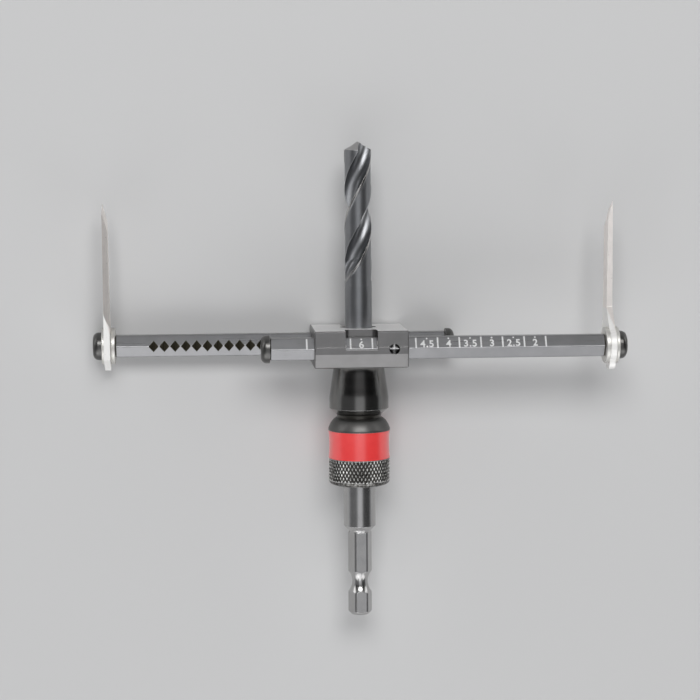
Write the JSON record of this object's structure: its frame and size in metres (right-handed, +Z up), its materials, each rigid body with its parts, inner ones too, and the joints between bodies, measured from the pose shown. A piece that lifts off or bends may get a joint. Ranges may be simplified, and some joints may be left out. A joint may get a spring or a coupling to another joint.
{
  "type": "adjustable circle cutter",
  "caption": "Twin-blade hole cutter: hex arms that slide through a hub to set the radius, a pilot drill and a quick-release hex shank.",
  "frame": {"origin": "centre of the hex shank's end face", "axes": "+Y runs along the cutter's axis towards the drill's point, +X towards the front arm's blade, +Z up out of the hub's front; the cutter lies on its back"},
  "size_m": [0.1564, 0.1403, 0.0266],
  "materials": {
    "hub_steel": "milled and nickel plated, satin",
    "arm_steel": "drawn hexagon bar, nickel plated, satin",
    "receiver_black": "steel with a glossy black oxide and oil finish",
    "drill_black": "high speed steel, black oxide, ground margins",
    "shank_steel": "turned steel, satin nickel",
    "collar_black": "knurled steel, black",
    "band_red": "plain red, satin gloss",
    "blade_steel": "ground tool steel with a warm tint",
    "washer_zinc": "bright zinc",
    "screw_black": "alloy steel, black oxide",
    "spring_steel": "plain spring steel",
    "ball_steel": "hardened and polished"
  },
  "bodies": {
    "hub": {"hub_block": "hub_steel", "receiver": "receiver_black", "pilot_drill": "drill_black", "drill_set_screw": "screw_black", "shank": "shank_steel", "lock_ball_1": "ball_steel", "lock_ball_2": "ball_steel", "lock_ball_3": "ball_steel", "spring_seat_washer": "spring_steel", "snap_ring": "spring_steel", "collar_spring": "spring_steel", "front_detent_spring": "spring_steel", "rear_detent_spring": "spring_steel"},
    "front_arm": {"front_arm_bar": "arm_steel", "front_stop_screw": "screw_black", "front_blade": "blade_steel", "front_inner_washer": "washer_zinc", "front_outer_washer": "washer_zinc", "front_blade_screw": "screw_black"},
    "rear_arm": {"rear_arm_bar": "arm_steel", "rear_stop_screw": "screw_black", "rear_blade": "blade_steel", "rear_inner_washer": "washer_zinc", "rear_outer_washer": "washer_zinc", "rear_blade_screw": "screw_black"},
    "collar": {"release_sleeve": "collar_black", "colour_band": "band_red", "nose_ring": "collar_black"},
    "front_detent": {"front_detent_ball": "ball_steel"},
    "rear_detent": {"rear_detent_ball": "ball_steel"}
  },
  "joints": [
    {"name": "front_arm_slide", "type": "slide", "parent": "hub", "child": "front_arm", "axis": [1, 0, 0], "range_m": [-0.0508, 0.0127]},
    {"name": "rear_arm_slide", "type": "slide", "parent": "hub", "child": "rear_arm", "axis": [-1, 0, 0], "range_m": [-0.0508, 0.0127]},
    {"name": "collar_slide", "type": "slide", "parent": "hub", "child": "collar", "axis": [0, -1, 0], "range_m": [0, 0.004], "stiffness_N_per_m": 1500, "springref_m": -0.001, "deforming": ["collar_spring"]},
    {"name": "front_detent_slide", "type": "slide", "parent": "hub", "child": "front_detent", "axis": [0, 0, 1], "range_m": [0, 0.00065], "stiffness_N_per_m": 300, "springref_m": 0.0015, "deforming": ["front_detent_spring"]},
    {"name": "rear_detent_slide", "type": "slide", "parent": "hub", "child": "rear_detent", "axis": [0, 0, -1], "range_m": [0, 0.00065], "stiffness_N_per_m": 300, "springref_m": 0.0015, "deforming": ["rear_detent_spring"]}
  ]
}
